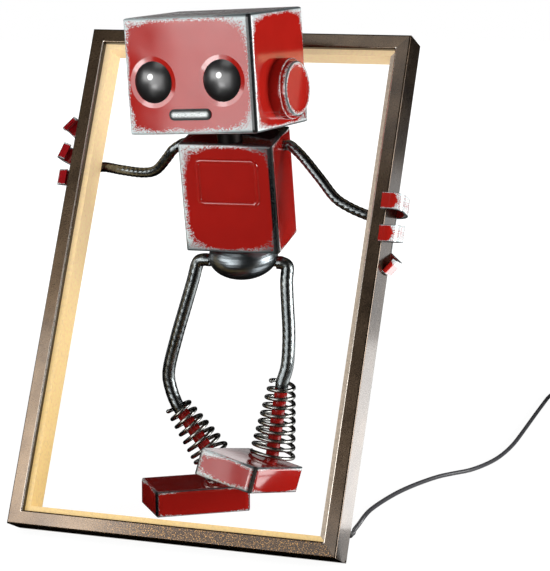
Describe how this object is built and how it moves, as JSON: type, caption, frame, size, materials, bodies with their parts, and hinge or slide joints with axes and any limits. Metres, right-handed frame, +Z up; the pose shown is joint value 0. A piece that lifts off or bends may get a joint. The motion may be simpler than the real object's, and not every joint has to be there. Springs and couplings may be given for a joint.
{
  "type": "robot shaped desk lamp",
  "caption": "Sheet-metal robot stepping through a leaning light frame, with a swivelling head, conical coil-spring ankles, wrapped hands, and a cord with switch and plug-in driver.",
  "frame": {"origin": "on the table, in the middle of the lamp's footprint measured without its cord", "axes": "+X right as seen from the front, +Y back (the robot faces -Y), +Z up"},
  "size_m": [0.4734, 0.8851, 0.498],
  "materials": {
    "red_enamel": "gloss enamel, edges brushed through to silver",
    "gunmetal": "burnished blackened steel",
    "bronze": "satin bronze lacquer",
    "opal": "opal diffuser lit warm from inside",
    "led_board": "white LED strip",
    "steel": "zinc-plated steel",
    "worn_silver": "rubbed silver paint",
    "eye_black": "gloss black dome with a white dot",
    "black_plastic": "fine-grained black",
    "cord_black": "matte black flex",
    "nickel": "nickel plate"
  },
  "bodies": {
    "lamp": {"rail_left": "bronze", "rail_right": "bronze", "rail_top": "bronze", "rail_bottom": "bronze", "diffuser_left": "opal", "diffuser_right": "opal", "diffuser_top": "opal", "diffuser_bottom": "opal", "led_strips": "led_board", "corner_keys": "steel", "cable_gland": "black_plastic", "neck_collar": "gunmetal", "neck_stud": "steel", "neck_washer": "steel", "neck_nut": "steel", "torso_shell": "red_enamel", "torso_plate": "red_enamel", "hip_bowl": "gunmetal", "hip_axle": "gunmetal", "arm_left": "gunmetal", "arm_right": "gunmetal", "hand_left": "red_enamel", "hand_right": "red_enamel", "leg_left": "gunmetal", "leg_right": "gunmetal", "shin_left": "red_enamel", "shin_right": "red_enamel", "spring_left": "gunmetal", "spring_right": "gunmetal", "shoe_left": "red_enamel", "shoe_right": "red_enamel", "sole_left": "red_enamel", "sole_right": "red_enamel", "cord_run": "cord_black", "cord_link": "cord_black", "cord_coil": "cord_black", "cord_tail": "cord_black", "switch_base": "black_plastic", "switch_cover": "black_plastic", "switch_pin": "steel", "switch_screws": "steel", "driver_body": "black_plastic", "driver_prongs": "nickel"},
    "head": {"head_shell": "red_enamel", "head_plate": "red_enamel", "eye_left": "eye_black", "eye_right": "eye_black", "mouth_bar": "worn_silver", "ear_drum_left": "red_enamel", "ear_drum_right": "red_enamel", "ear_cap_left": "red_enamel", "ear_cap_right": "red_enamel"},
    "rocker": {"switch_rocker": "black_plastic"}
  },
  "joints": [
    {"name": "head_swivel", "type": "hinge", "parent": "lamp", "child": "head", "pos_m": [0.01303, 0.01709, 0.38484], "axis": [-0.0561, -0.0235, 0.9981], "range_deg": [-18, 18]},
    {"name": "switch_rock", "type": "hinge", "parent": "lamp", "child": "rocker", "pos_m": [0.2065, 0.6804, 0.012], "axis": [1, 0, 0], "range_deg": [0, 16]}
  ]
}
